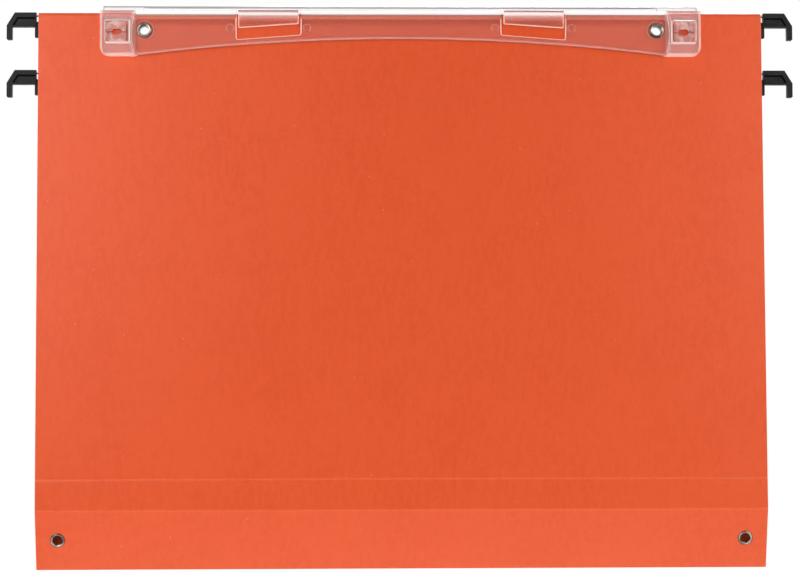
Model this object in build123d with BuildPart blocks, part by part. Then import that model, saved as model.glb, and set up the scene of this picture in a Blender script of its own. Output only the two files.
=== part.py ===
from build123d import *
import os
from math import asin, atan2, cos, degrees, hypot, radians, sin

os.makedirs("parts", exist_ok=True)

# Hanging file folder of folded card, in millimetres.
# X runs along the hanging bars, -Y is the front, +Z is up.
# The origin is midway between the front hooks, at the height where they sit on the rails.

# Card sheet
rail_clearance = 6.5
card_thickness = 0.4
leaf_height = 204.0
crease_strip = 13.2
base_depth = 26.4
base_tilt = 18.0
leaf_gap = 0.3
flap_length = 12.0
flap_ramp = 3.2

# Hooks
rail_spacing = 330.0
notch_width = 9.75
bridge_height = 6.3
bridge_overhang = 0.7
hook_thickness = 3.2
outer_leg_width = 2.45
outer_leg_drop = 5.6
inner_leg_drop = 4.7
leg_round = 0.5
bevel_run = 3.5
bevel_drop = 5.7
top_flange = 2.2
seat_lip = 0.8
end_web = 0.5
insert_thickness = 1.9
insert_rise = 2.3
insert_length = 9.0
tongue_height = 0.5
tongue_depth = 1.2
tongue_length = 8.0
tongue_drop = 1.15

# Hanging bars
bar_thickness = 0.8
bar_height = 8.0
neck_height = 5.4
neck_length = 6.5
bar_corner = 0.8

# Eyelets
eyelet_bore = 4.0
eyelet_wall = 0.25
eyelet_flange = 6.4
flange_thickness = 0.35
holder_eyelet_inset = 4.7
holder_eyelet_drop = 8.0
base_eyelet_inset = 9.5

# Label holder
holder_inset = 27.1
plate_thickness = 1.2
block_length = 14.5
arch_end_drop = 19.4
arch_mid_drop = 11.95
rim_width = 1.6
rim_height = 0.7
band_drop = 3.1
band_height = 0.3
block_depth = 4.0
block_rise = 0.4
block_corner = 4.0
block_bevel = 1.0
block_waist = 1.6
recess_width = 10.5
recess_height = 9.7
recess_inset = 2.0
recess_drop = 3.9
recess_corner = 1.0
recess_floor = 1.8
jaw_radius = 5.0
jaw_step = 0.8
socket_width = 5.1
socket_height = 2.6
socket_flat = 3.0
socket_slit = 0.4
boss_diameter = 8.2
boss_height = 0.25
window_spacing = 116.0
window_width = 28.0
window_outer_drop = 12.0
window_inner_drop = 9.9
window_corner = 0.8
tab_width = 26.3
tab_thickness = 0.9
tab_reach = 1.9
tab_rise = 0.9
tab_outer_drop = 7.2
tab_inner_drop = 5.4
tab_corner = 0.6
lens_rise = 3.1
lens_shoulder = 0.6
lens_skirt = 0.9
lens_overhang = 2.0
lens_inset = 1.2
lens_floor = 0.7
label_slot = 0.6
label_inset = 4.1
lens_wall = 1.1
pin_mark_diameter = 3.3
pin_mark_height = 0.12
pin_mark_drop = 6.9
pin_mark_offset = 16.8

# Clearances and cuts
hem_clearance = 0.25
socket_clearance = 0.05
eyelet_clearance = 0.1
lens_clearance = 0.1
overrun = 2.0

# Lengths and places that follow from the sizes above
card_width = rail_spacing - 2 * rail_clearance
holder_length = card_width - 2 * holder_inset
arch_span = holder_length - 2 * block_length
label_length = arch_span - 2 * label_inset
holder_eyelet_spacing = arch_span - 2 * holder_eyelet_inset
card_top = bridge_height
channel_half = insert_thickness / 2 + hem_clearance
hem_half = channel_half + card_thickness
hem_round_z = card_top - hem_half
front_bottom = card_top - leaf_height - crease_strip
rear_bottom = card_top - leaf_height
inner_skin = card_thickness - hem_half
notch_inner = rail_spacing / 2 - notch_width / 2
notch_outer = rail_spacing / 2 + notch_width / 2
hook_tip = notch_outer + outer_leg_width
insert_end = notch_inner - insert_length
bar_z = (insert_rise - inner_leg_drop) / 2
eyelet_barrel = eyelet_bore + 2 * eyelet_wall
eyelet_hole = eyelet_barrel + 2 * eyelet_clearance
holder_eyelet_z = card_top - holder_eyelet_drop
base_eyelet_spacing = card_width - 2 * base_eyelet_inset
holder_half = holder_length / 2
plate_front = hem_half + plate_thickness
tilt = radians(base_tilt)

# The rear leaf leans forward until its hem rests just behind the front leaf's glued flap.
fold_y = inner_skin + base_depth * sin(tilt)
fold_z = front_bottom - base_depth * cos(tilt)
lean_reach = fold_y - inner_skin - card_thickness - leaf_gap
lean_across = hem_half - inner_skin
lean_up = card_top - front_bottom
rear_lean = asin(lean_reach / hypot(lean_across, lean_up)) - atan2(lean_across, lean_up)
rear_up = Vector(0, -sin(rear_lean), cos(rear_lean))
rear_in = Vector(0, -cos(rear_lean), -sin(rear_lean))
rear_origin = Vector(0, fold_y, fold_z) - rear_in * inner_skin - rear_up * front_bottom

# Each leaf has its own plane: x along the bar, y towards the inside, z up.
front_leaf = Plane.XY
rear_leaf = Plane(origin=rear_origin, x_dir=(-1, 0, 0), z_dir=rear_up)
base_strip = Plane(
    origin=(0, inner_skin, front_bottom),
    x_dir=(1, 0, 0),
    z_dir=(0, -sin(tilt), cos(tilt)),
)


def side_of(leaf):
    """Section plane of a leaf: inwards is its x, up is its y."""
    return Plane(origin=leaf.origin, x_dir=leaf.y_dir, z_dir=leaf.x_dir)


def face_of(leaf, outwards):
    """Plane along a leaf, facing outwards, at a distance from the leaf's middle plane."""
    return Plane(
        origin=leaf.origin - leaf.y_dir * outwards,
        x_dir=leaf.x_dir,
        z_dir=leaf.y_dir * -1,
    )


def save(piece, name):
    """Label a finished piece and write it."""
    piece.part.label = name
    export_step(piece.part, f"parts/{name}.step")


# Card panels
def holder_holes(leaf):
    """Outline of the pair of holes that the holder eyelets pass through."""
    with BuildSketch(face_of(leaf, 0)) as holes:
        with GridLocations(holder_eyelet_spacing, 0, 2, 1):
            with Locations((0, holder_eyelet_z)):
                Circle(eyelet_hole / 2)
    return holes.sketch


def hemmed_panel(leaf, bottom, riveted):
    """A leaf of card whose top edge is turned inwards over the bar and glued below it."""
    ramp_run = 2 * channel_half
    ramp_fall = flap_ramp / ramp_run
    skin_rise = card_thickness / cos(atan2(flap_ramp, ramp_run))
    channel_low = bar_z - bar_height / 2 - hem_clearance
    ramp_top = channel_low - skin_rise + ramp_fall * card_thickness
    ramp_low = ramp_top - flap_ramp
    flap_end = ramp_low - flap_length
    void_low = ramp_top - ramp_fall * (hem_half + channel_half) + skin_rise
    with BuildPart() as panel:
        with BuildSketch(side_of(leaf)):
            with BuildLine():
                front = Line((-hem_half, bottom), (-hem_half, hem_round_z))
                turn = ThreePointArc(front @ 1, (0, card_top), (hem_half, hem_round_z))
                Polyline(
                    turn @ 1,
                    (hem_half, ramp_top),
                    (inner_skin + card_thickness, ramp_low),
                    (inner_skin + card_thickness, flap_end),
                    (inner_skin, flap_end),
                    (inner_skin, bottom),
                    front @ 0,
                )
            make_face()
            with BuildLine():
                wall = Line((inner_skin, void_low), (inner_skin, hem_round_z))
                crown = (0, card_top - card_thickness)
                roof = ThreePointArc(wall @ 1, crown, (channel_half, hem_round_z))
                Polyline(roof @ 1, (channel_half, channel_low), wall @ 0)
            make_face(mode=Mode.SUBTRACT)
        extrude(amount=card_width / 2, both=True)
        if riveted:
            extrude(holder_holes(leaf), amount=plate_front, both=True, mode=Mode.SUBTRACT)
    return panel


save(hemmed_panel(front_leaf, front_bottom, True), "front_panel")
save(hemmed_panel(rear_leaf, rear_bottom, False), "rear_panel")

with BuildPart() as base_panel:
    with BuildSketch(side_of(base_strip)):
        with BuildLine():
            top = Line((-card_thickness, 0), (0, 0))
            inside = Line(top @ 1, (0, -base_depth - card_thickness))
            fold = CenterArc((0, -base_depth), card_thickness, 180, 90)
            Line(fold @ 0, top @ 0)
        make_face()
    extrude(amount=card_width / 2, both=True)
    with BuildSketch(face_of(base_strip, 0)):
        with GridLocations(base_eyelet_spacing, 0, 2, 1):
            with Locations((0, -base_depth / 2)):
                Circle(eyelet_hole / 2)
    extrude(amount=overrun, both=True, mode=Mode.SUBTRACT)
save(base_panel, "base_panel")

with BuildPart() as rear_strip:
    with BuildSketch(side_of(rear_leaf)):
        with Locations((inner_skin, front_bottom)):
            Rectangle(card_thickness, crease_strip, align=(Align.MAX, Align.MIN))
    extrude(amount=card_width / 2, both=True)
save(rear_strip, "rear_strip")


# Hanging bars
def hanging_bar(leaf, riveted):
    """Flat steel bar, necked at both ends to fit the hooks."""
    with BuildPart() as bar:
        with BuildSketch(face_of(leaf, 0)):
            with Locations((0, bar_z)):
                RectangleRounded(2 * insert_end, bar_height, bar_corner)
                Rectangle(2 * (insert_end + neck_length), neck_height)
        extrude(amount=bar_thickness / 2, both=True)
        if riveted:
            extrude(holder_holes(leaf), amount=plate_front, both=True, mode=Mode.SUBTRACT)
    return bar


save(hanging_bar(front_leaf, True), "front_bar")
save(hanging_bar(rear_leaf, False), "rear_bar")


# Hooks
def hook(leaf, mirrored):
    """Moulded end hook: flanged bridge, outer leg, rail notch and an insert that holds the bar."""
    bridge_end = notch_inner - bridge_overhang
    bevel_foot = bridge_height - bevel_drop
    bevel_shift = top_flange / sin(atan2(bevel_drop, bevel_run))
    bevel_slope = bevel_run / bevel_drop
    web_top = bridge_height - top_flange
    web_in = bridge_end + end_web
    web_out_low = hook_tip - bevel_shift - bevel_slope * (seat_lip - bevel_foot)
    web_out_high = hook_tip - bevel_shift - bevel_slope * (web_top - bevel_foot)
    with BuildPart() as piece:
        with BuildSketch(face_of(leaf, 0)) as outline:
            with BuildLine():
                Polyline(
                    (bridge_end, 0),
                    (bridge_end, bridge_height),
                    (hook_tip - bevel_run, bridge_height),
                    (hook_tip, bevel_foot),
                    (hook_tip, -outer_leg_drop),
                    (notch_outer, -outer_leg_drop),
                    (notch_outer, 0),
                    close=True,
                )
            make_face()
            fillet(outline.vertices().group_by(Axis.Y)[0], leg_round)
        extrude(amount=hook_thickness / 2, both=True)
        for side in (1, -1):
            with BuildSketch(face_of(leaf, side * insert_thickness / 2)):
                with BuildLine():
                    Polyline(
                        (web_in, seat_lip),
                        (web_out_low, seat_lip),
                        (web_out_high, web_top),
                        (web_in, web_top),
                        close=True,
                    )
                make_face()
            extrude(amount=side * hook_thickness, mode=Mode.SUBTRACT)
        with BuildSketch(face_of(leaf, 0)) as insert:
            with Locations((notch_inner, -inner_leg_drop)):
                Rectangle(insert_length, insert_rise + inner_leg_drop, align=(Align.MAX, Align.MIN))
            fillet(insert.vertices().group_by(Axis.Y)[0], leg_round)
        extrude(amount=insert_thickness / 2, both=True)
        with BuildSketch(face_of(leaf, 0)):
            with Locations((bridge_end + end_web, bridge_height - tongue_drop)):
                Rectangle(tongue_length, tongue_height, align=(Align.MAX, Align.MAX))
        extrude(amount=tongue_depth / 2, both=True)
        with BuildSketch(face_of(leaf, 0)):
            with Locations((insert_end + neck_length, bar_z)):
                Rectangle(
                    neck_length + overrun,
                    neck_height + 2 * socket_clearance,
                    align=(Align.MAX, Align.CENTER),
                )
        extrude(amount=bar_thickness / 2 + socket_clearance, both=True, mode=Mode.SUBTRACT)
        if mirrored:
            mirror(about=side_of(leaf), mode=Mode.REPLACE)
    return piece


for name, leaf, mirrored in (
    ("front_right_hook", front_leaf, False),
    ("front_left_hook", front_leaf, True),
    ("rear_left_hook", rear_leaf, False),
    ("rear_right_hook", rear_leaf, True),
):
    save(hook(leaf, mirrored), name)


# Label holder
block_low = card_top - arch_end_drop
block_high = card_top + block_rise
block_inner = (arch_span - rim_width) / 2
recess_x = holder_half - recess_inset - recess_width / 2
recess_z = card_top - recess_drop - recess_height / 2
recess_front = hem_half + recess_floor
window_x = window_spacing / 2


def arch(rise):
    """The arched lower edge of the holder, or a copy of it higher up."""
    return ThreePointArc(
        (-arch_span / 2, block_low + rise),
        (0, card_top - arch_mid_drop + rise),
        (arch_span / 2, block_low + rise),
    )


with BuildPart() as clip_tab:
    tab_out = plate_front + tab_reach
    tab_in = tab_out - tab_thickness
    tab_bend = card_top + tab_rise - tab_reach
    with BuildSketch(side_of(front_leaf).offset(window_x)):
        with BuildLine():
            tab_root = lens_wall - plate_front
            root = Line((tab_root, card_top + tab_rise), (-plate_front, card_top + tab_rise))
            crown = CenterArc((-plate_front, tab_bend), tab_reach, 90, 90)
            Polyline(crown @ 1, (-tab_out, block_low), (-tab_in, block_low), (-tab_in, tab_bend))
            inner = CenterArc((-plate_front, tab_bend), tab_reach - tab_thickness, 90, 90)
            Polyline(inner @ 0, (tab_root, card_top + tab_rise - tab_thickness), root @ 0)
        make_face()
    extrude(amount=tab_width / 2, both=True)
    with BuildSketch(face_of(front_leaf, 0)) as tab_face:
        with BuildLine():
            Polyline(
                (window_x - tab_width / 2, card_top + tab_rise),
                (window_x + tab_width / 2, card_top + tab_rise),
                (window_x + tab_width / 2, card_top - tab_outer_drop),
                (window_x - tab_width / 2, card_top - tab_inner_drop),
                close=True,
            )
        make_face()
        fillet(tab_face.vertices().sort_by(Axis.Y)[0:2], tab_corner)
    extrude(amount=tab_out + overrun, mode=Mode.INTERSECT)

with BuildPart() as label_holder:
    with BuildSketch(face_of(front_leaf, hem_half)) as plate:
        with BuildLine():
            edge = arch(0)
            Polyline(
                edge @ 1,
                (holder_half, block_low),
                (holder_half, card_top),
                (-holder_half, card_top),
                (-holder_half, block_low),
                edge @ 0,
            )
        make_face()
        fillet(plate.vertices().group_by(Axis.X)[0].sort_by(Axis.Y)[0], block_corner)
        fillet(plate.vertices().group_by(Axis.X)[-1].sort_by(Axis.Y)[0], block_corner)
    extrude(amount=plate_thickness)
    with BuildSketch(face_of(front_leaf, plate_front)):
        with BuildLine():
            rim_low = arch(0)
            rim_high = arch(rim_width)
            Line(rim_low @ 0, rim_high @ 0)
            Line(rim_low @ 1, rim_high @ 1)
        make_face()
    extrude(amount=rim_height)
    with BuildSketch(face_of(front_leaf, plate_front)):
        with Locations((0, card_top)):
            Rectangle(arch_span, band_drop, align=(Align.CENTER, Align.MAX))
    extrude(amount=band_height)
    with BuildSketch(face_of(front_leaf, plate_front)):
        with GridLocations(holder_eyelet_spacing, 0, 2, 1):
            with Locations((0, holder_eyelet_z)):
                Circle(boss_diameter / 2)
    extrude(amount=boss_height)
    with BuildSketch(face_of(front_leaf, plate_front)):
        with GridLocations(window_spacing, 0, 2, 1):
            with Locations(
                (-pin_mark_offset, card_top - pin_mark_drop),
                (pin_mark_offset, card_top - pin_mark_drop),
            ):
                Circle(pin_mark_diameter / 2)
    extrude(amount=pin_mark_height)

    # End blocks with a waisted inner wall and bevelled front edges
    with BuildSketch(face_of(front_leaf, hem_half)) as block:
        with BuildLine():
            waist = ThreePointArc(
                (block_inner, block_low),
                (block_inner + block_waist, (block_low + block_high) / 2),
                (block_inner, block_high),
            )
            Polyline(waist @ 1, (holder_half, block_high), (holder_half, block_low), waist @ 0)
        make_face()
        fillet(block.vertices().group_by(Axis.X)[-1].sort_by(Axis.Y)[0], block_corner)
        mirror(about=Plane.YZ)
    extrude(amount=block_depth)
    chamfer(label_holder.faces().group_by(Axis.Y)[0].edges(), block_bevel)

    # Snap sockets: a recess, a stepped floor round the jaws, a slotted six-sided hole
    with BuildSketch(face_of(front_leaf, hem_half + block_depth)):
        with Locations((recess_x, recess_z), (-recess_x, recess_z)):
            RectangleRounded(recess_width, recess_height, recess_corner)
    extrude(amount=recess_floor - block_depth, mode=Mode.SUBTRACT)
    with BuildSketch(face_of(front_leaf, recess_front)):
        with Locations((recess_x, recess_z)):
            RectangleRounded(recess_width, recess_height, recess_corner)
        with Locations((recess_x, recess_z)):
            Circle(jaw_radius, mode=Mode.SUBTRACT)
            Rectangle(recess_width, recess_height, align=(Align.MAX, Align.CENTER), mode=Mode.SUBTRACT)
        mirror(about=Plane.YZ)
    extrude(amount=-jaw_step, mode=Mode.SUBTRACT)
    with BuildSketch(face_of(front_leaf, recess_front)):
        with BuildLine():
            Polyline(
                (recess_x - socket_width / 2, recess_z),
                (recess_x - socket_flat / 2, recess_z + socket_height / 2),
                (recess_x + socket_flat / 2, recess_z + socket_height / 2),
                (recess_x + socket_width / 2, recess_z),
                (recess_x + socket_flat / 2, recess_z - socket_height / 2),
                (recess_x - socket_flat / 2, recess_z - socket_height / 2),
                close=True,
            )
        make_face()
        with Locations((recess_x, recess_z)):
            Rectangle(recess_width - 2 * recess_corner, socket_slit)
        with Locations((recess_x - recess_width / 2 + recess_corner, recess_z)):
            Rectangle(socket_slit, recess_height - 2 * recess_corner)
        mirror(about=Plane.YZ)
    extrude(amount=-recess_floor - overrun, mode=Mode.SUBTRACT)

    # Windows behind the clip tabs
    with BuildSketch(face_of(front_leaf, hem_half - overrun)) as window:
        with BuildLine():
            Polyline(
                (window_x - window_width / 2, card_top - lens_skirt),
                (window_x + window_width / 2, card_top - lens_skirt),
                (window_x + window_width / 2, card_top - window_outer_drop),
                (window_x - window_width / 2, card_top - window_inner_drop),
                close=True,
            )
        make_face()
        fillet(window.vertices().sort_by(Axis.Y)[0:2], window_corner)
        mirror(about=Plane.YZ)
    extrude(amount=plate_thickness + 2 * overrun, mode=Mode.SUBTRACT)

    # Lens strip over the top edge, with a label slot that opens at the back
    with BuildSketch(side_of(front_leaf)):
        with BuildLine():
            lens_back = hem_half + lens_overhang
            dome = ThreePointArc(
                (-plate_front, card_top + lens_shoulder),
                ((lens_back - plate_front) / 2, card_top + lens_rise),
                (lens_back, card_top + lens_shoulder),
            )
            Polyline(
                dome @ 1,
                (lens_back, card_top + lens_clearance),
                (-hem_half, card_top + lens_clearance),
                (-hem_half, card_top - lens_skirt),
                (-plate_front, card_top - lens_skirt),
                dome @ 0,
            )
        make_face()
    extrude(amount=holder_half - lens_inset, both=True)
    with BuildSketch(side_of(front_leaf)):
        with Locations((lens_wall - plate_front, card_top + lens_clearance + lens_floor)):
            Rectangle(2 * plate_front + lens_overhang, label_slot, align=(Align.MIN, Align.MIN))
    extrude(amount=label_length / 2, both=True, mode=Mode.SUBTRACT)
    add(clip_tab.part)
    mirror(clip_tab.part, about=Plane.YZ)
    extrude(holder_holes(front_leaf), amount=plate_front + overrun, mode=Mode.SUBTRACT)
save(label_holder, "label_holder")


# Eyelets
def eyelet(leaf, x, z, front, back):
    """Rolled metal eyelet through a leaf, between a front and a back face."""
    bore = eyelet_bore / 2
    barrel = eyelet_barrel / 2
    flange = eyelet_flange / 2
    roll = (barrel + flange) / 2
    lip = flange_thickness / 2
    centre = leaf.from_local_coords((x, 0, z))
    with BuildPart() as ring:
        with BuildSketch(Plane(origin=centre, x_dir=leaf.x_dir, z_dir=leaf.z_dir)):
            with BuildLine():
                Polyline(
                    (bore, -front - lip),
                    (barrel, -front - flange_thickness),
                    (roll, -front - flange_thickness),
                    (flange, -front),
                    (barrel, -front),
                    (barrel, back),
                    (flange, back),
                    (roll, back + flange_thickness),
                    (barrel, back + flange_thickness),
                    (bore, back + lip),
                    close=True,
                )
            make_face()
        revolve(axis=Axis(centre, leaf.y_dir))
    return ring


holder_eyelet_x = holder_eyelet_spacing / 2
base_eyelet_x = base_eyelet_spacing / 2
boss_front = plate_front + boss_height
for side, sign in (("left", -1), ("right", 1)):
    top_ring = eyelet(front_leaf, sign * holder_eyelet_x, holder_eyelet_z, boss_front, hem_half)
    save(top_ring, f"{side}_holder_eyelet")
    base_ring = eyelet(base_strip, sign * base_eyelet_x, -base_depth / 2, card_thickness, 0)
    save(base_ring, f"{side}_base_eyelet")

print("rear lean", round(degrees(rear_lean), 3), "degrees")
print("bottom fold at", round(fold_y, 3), round(fold_z, 3))
print("rear seat line at", tuple(round(v, 3) for v in rear_origin))
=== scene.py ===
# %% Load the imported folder
import math

import bmesh
import bpy
from mathutils import Matrix, Vector


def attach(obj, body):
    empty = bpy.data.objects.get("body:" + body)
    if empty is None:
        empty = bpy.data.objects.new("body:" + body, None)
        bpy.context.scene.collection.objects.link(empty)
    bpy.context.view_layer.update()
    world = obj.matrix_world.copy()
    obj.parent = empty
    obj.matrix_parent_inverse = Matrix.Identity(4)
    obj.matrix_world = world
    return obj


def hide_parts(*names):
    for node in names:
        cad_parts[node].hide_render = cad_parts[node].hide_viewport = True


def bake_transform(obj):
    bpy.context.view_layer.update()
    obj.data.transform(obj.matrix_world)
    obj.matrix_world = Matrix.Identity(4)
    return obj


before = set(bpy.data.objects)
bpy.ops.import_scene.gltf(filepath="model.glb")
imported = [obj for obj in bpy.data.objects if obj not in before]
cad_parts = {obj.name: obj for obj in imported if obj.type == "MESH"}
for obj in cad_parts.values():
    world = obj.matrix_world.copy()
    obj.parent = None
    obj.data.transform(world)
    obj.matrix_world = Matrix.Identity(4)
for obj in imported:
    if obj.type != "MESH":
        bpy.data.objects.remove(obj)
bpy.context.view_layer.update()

# %% [markdown]
# # A hanging file folder
# One sheet of orange card hangs from two steel bars, and the bars sit on filing rails with black
# plastic hooks. A clear label holder is riveted to the front top edge, and two more eyelets sit in
# the base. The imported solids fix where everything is, so this lesson only dresses them: the card
# gets real folds, the mouldings get rounded edges, and every surface gets a finish of its own.
# In the frame x runs across the folder, y from front to back and z up. The studio is measured in
# metres, and the folder in millimetres that become metres where they meet Blender.

# %% [markdown]
# ## The photograph's camera
# The picture was taken square on with a long lens, a little below the middle of the folder, so the
# lower edge comes out slightly wider than the upper one. Matching a handful of corners gives the
# lens and the place. A longer lens from further away would flatten the keystone, so the distance
# matters as well as the focal length.

# %% Camera
CAMERA_PLACE = (-0.0301, -1.1, -0.2016)
CAMERA_PITCH, CAMERA_YAW, CAMERA_ROLL = (math.radians(v) for v in (4.562, 1.525, -0.201))
FOCAL_PIXELS, PICTURE_WIDTH, SENSOR_WIDTH = 2534.2, 800, 36.0
lens = bpy.data.cameras.new("photo_camera")
lens.sensor_width = SENSOR_WIDTH
lens.lens = FOCAL_PIXELS / PICTURE_WIDTH * SENSOR_WIDTH
camera = bpy.data.objects.new("photo_camera", lens)
camera.location = CAMERA_PLACE
aim = (
    Matrix.Rotation(-CAMERA_YAW, 4, "Z")
    @ Matrix.Rotation(math.pi / 2 + CAMERA_PITCH, 4, "X")
    @ Matrix.Rotation(CAMERA_ROLL, 4, "Z")
)
camera.rotation_euler = aim.to_euler()
bpy.context.scene.collection.objects.link(camera)
bpy.context.scene.camera = camera
bpy.context.scene.view_settings.view_transform = "Standard"
print("lens", round(lens.lens, 1), "mm")

# %% [markdown]
# ## Writing shader sums as Python
# A finish is a network of nodes. Written node by node it hides its own idea, so a small class wraps
# a socket and lets ordinary sums add the Math nodes. One method makes every other kind of node: its
# settings are set first, because some of them change which sockets there are.


# %% Shader helper
class Wire:
    """An output socket in a node tree that can be used in sums."""

    def __init__(self, tree, socket=None):
        self.tree = tree
        self.socket = socket

    def add(self, kind, settings=None, inputs=None, out=0):
        """Makes a node: its settings first, then the values or wires of its sockets."""
        node = self.tree.nodes.new(kind)
        for key, value in (settings or {}).items():
            setattr(node, key, value)
        for key, value in (inputs or {}).items():
            if isinstance(value, Wire):
                self.tree.links.new(value.socket, node.inputs[key])
            else:
                node.inputs[key].default_value = value
        return Wire(self.tree, node.outputs[out]) if len(node.outputs) else None

    def math(self, operation, *values):
        return self.add("ShaderNodeMath", {"operation": operation}, dict(enumerate(values)))

    def __add__(self, other):
        return self.math("ADD", self, other)

    def __sub__(self, other):
        return self.math("SUBTRACT", self, other)

    def __rsub__(self, other):
        return self.math("SUBTRACT", other, self)

    def __mul__(self, other):
        return self.math("MULTIPLY", self, other)

    def __abs__(self):
        return self.math("ABSOLUTE", self)

    __radd__ = __add__
    __rmul__ = __mul__

    def ease(self, low, high, start=0.0, end=1.0):
        """Goes smoothly from start to end while this value goes from low to high."""
        values = {"Value": self, "From Min": low, "From Max": high, "To Min": start, "To Max": end}
        return self.add("ShaderNodeMapRange", {"interpolation_type": "SMOOTHSTEP"}, values)

    def tint(self, colour, other):
        """Blends from one colour to another, with this value as the factor."""
        values = {0: self, 6: colour, 7: other}
        return self.add("ShaderNodeMix", {"data_type": "RGBA"}, values, out=2)

    def mix(self, shader, other):
        """Blends from one shader to another, with this value as the factor."""
        return self.add("ShaderNodeMixShader", None, {0: self, 1: shader, 2: other})

    def split(self):
        node = self.add("ShaderNodeSeparateXYZ", None, {0: self}).socket.node
        return [Wire(self.tree, output) for output in node.outputs]

    def noise(self, scale, detail=2.0, roughness=0.5, stretch=(1, 1, 1), turn=(0, 0, 0)):
        values = {"Vector": self, "Rotation": turn, "Scale": stretch}
        place = self.add("ShaderNodeMapping", None, values)
        values = {"Vector": place, "Scale": scale, "Detail": detail, "Roughness": roughness}
        return self.add("ShaderNodeTexNoise", None, values)

    def ray(self, kind):
        return self.add("ShaderNodeLightPath", out=kind)


def most(*masks):
    """The strongest of several masks."""
    strongest = masks[0]
    for mask in masks[1:]:
        strongest = strongest.math("MAXIMUM", strongest, mask)
    return strongest


def new_finish(name):
    """An empty material, with the wire that carries the piece's own coordinates."""
    finish = bpy.data.materials.new(name)
    finish.use_nodes = True
    finish.node_tree.nodes.clear()
    blank = Wire(finish.node_tree)
    return finish, blank, blank.add("ShaderNodeTexCoord", out="Object")


def surface(blank, shader):
    """Connects a finished shader to the material's output."""
    blank.add("ShaderNodeOutputMaterial", None, {"Surface": shader})


print("shader helper ready")

# %% [markdown]
# ## White studio
# The folder hangs in front of white paper. A room of bright walls would light the card as well, so
# the world asks what each ray is: it is white to the camera and through clear plastic, a studio of
# light and dark walls to a mirroring surface, and only weak light to everything else. A ray that
# has met a matt surface counts as light on the object, even if it then passes through plastic.

# %% World
WORLD_LIGHT = 0.20
world = bpy.data.worlds.new("studio")
world.use_nodes = True
world.node_tree.nodes.clear()


def unscattered(wire):
    """One for rays that have not met a matt surface yet."""
    return wire.ray("Diffuse Depth").ease(0.4, 0.6, 1.0, 0.0)


sky = Wire(world.node_tree)
_, depth, rise = sky.add("ShaderNodeTexCoord", out="Generated").split()
ahead = -1 * depth
front_walls = ahead.ease(0.2, 0.55, 0.10, 0.40) - ahead.ease(0.88, 0.97, 0.0, 0.34)
back_wall = depth.ease(0.1, 0.4, 0.0, 0.86)
ceiling = rise.ease(0.5, 0.9, 0.0, 0.5)
mirrored = sky.math("MINIMUM", front_walls + back_wall + ceiling, 1.0)
direct = unscattered(sky)
white = most(sky.ray("Is Camera Ray"), sky.ray("Is Transmission Ray") * direct)
gloss = sky.ray("Is Glossy Ray") * direct
level = WORLD_LIGHT * (1 - most(white, gloss)) + white + gloss * (1 - white) * mirrored
glow = sky.add("ShaderNodeBackground", None, {"Color": (1, 1, 1, 1), "Strength": level})
sky.add("ShaderNodeOutputWorld", None, {"Surface": glow})
bpy.context.scene.world = world
print("world light", WORLD_LIGHT)

# %% [markdown]
# ## Floor
# The floor is pale paper and lies well below, because the rear leaf can swing down past the fold.
# A square of paper would end in a hard horizon. This one is a disc that fades to white towards its
# rim for the camera, a little for mirroring surfaces, and is white through clear plastic. To all
# other rays it is plain paper, so it keeps the folder's shadow and throws no light of its own.

# %% Floor
FLOOR_Z = -0.40
FLOOR_RADIUS = 2.6
FLOOR_SHINE = 0.3
floor_finish, paper, place = new_finish("studio_floor")
across, along, _ = place.split()
rim = paper.math("SQRT", across * across + along * along).ease(0.0, FLOOR_RADIUS * 0.6, 0.15, 1.0)
grain = place.noise(40.0).tint((0.86, 0.86, 0.86, 1), (0.9, 0.9, 0.9, 1))
matt = paper.add("ShaderNodeBsdfDiffuse", None, {"Color": grain})
white = paper.add("ShaderNodeEmission", None, {"Color": (1, 1, 1, 1), "Strength": 1.0})
seen = most(paper.ray("Is Camera Ray"), paper.ray("Is Glossy Ray") * FLOOR_SHINE)
through = paper.ray("Is Transmission Ray") * unscattered(paper)
surface(paper, most(rim * seen, through).mix(matt, white))
floor_mesh = bpy.data.meshes.new("studio_floor")
disc = bmesh.new()
bmesh.ops.create_circle(disc, cap_ends=True, segments=96, radius=FLOOR_RADIUS)
bmesh.ops.translate(disc, verts=disc.verts, vec=(0, 0, FLOOR_Z))
disc.to_mesh(floor_mesh)
disc.free()
floor = bpy.data.objects.new("studio_floor", floor_mesh)
floor_mesh.materials.append(floor_finish)
bpy.context.scene.collection.objects.link(floor)
print("floor at", FLOOR_Z, "m")

# %% [markdown]
# ## Soft boxes
# In the photograph the leaf is lit evenly from both sides, and the tilted base strip is a little
# brighter. One large lamp beside the camera would be simpler, but it has no way to pick out the
# base. So two soft boxes stand left and right, a long flat one lies under the base, and two more
# light the top and the back.


# %% Lamps
def soft_box(name, place, target, size, power, wide=None):
    """An area lamp that faces a target, square unless a width is given."""
    lamp = bpy.data.lights.new(name, "AREA")
    lamp.shape, lamp.energy = "RECTANGLE", power
    lamp.size, lamp.size_y = wide or size, size
    box = bpy.data.objects.new(name, lamp)
    box.location = place
    box.rotation_euler = (Vector(target) - Vector(place)).to_track_quat("-Z", "Y").to_euler()
    box.visible_camera = False
    bpy.context.scene.collection.objects.link(box)


MIDDLE = (0, 0, -0.11)
soft_box("left_lamp", (-0.321, -0.328, 0.02), MIDDLE, 0.35, 1.405)
soft_box("right_lamp", (0.395, -0.30, -0.012), MIDDLE, 0.35, 1.383)
soft_box("low_lamp", (-0.03, -0.08, -0.385), (-0.03, -0.08, 0), 0.15, 0.41, wide=0.53)
soft_box("top_lamp", (0.0, -0.5, 1.0), MIDDLE, 0.5, 0.12)
soft_box("back_lamp", (0.3, 1.4, 0.8), MIDDLE, 0.8, 20.0)

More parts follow.
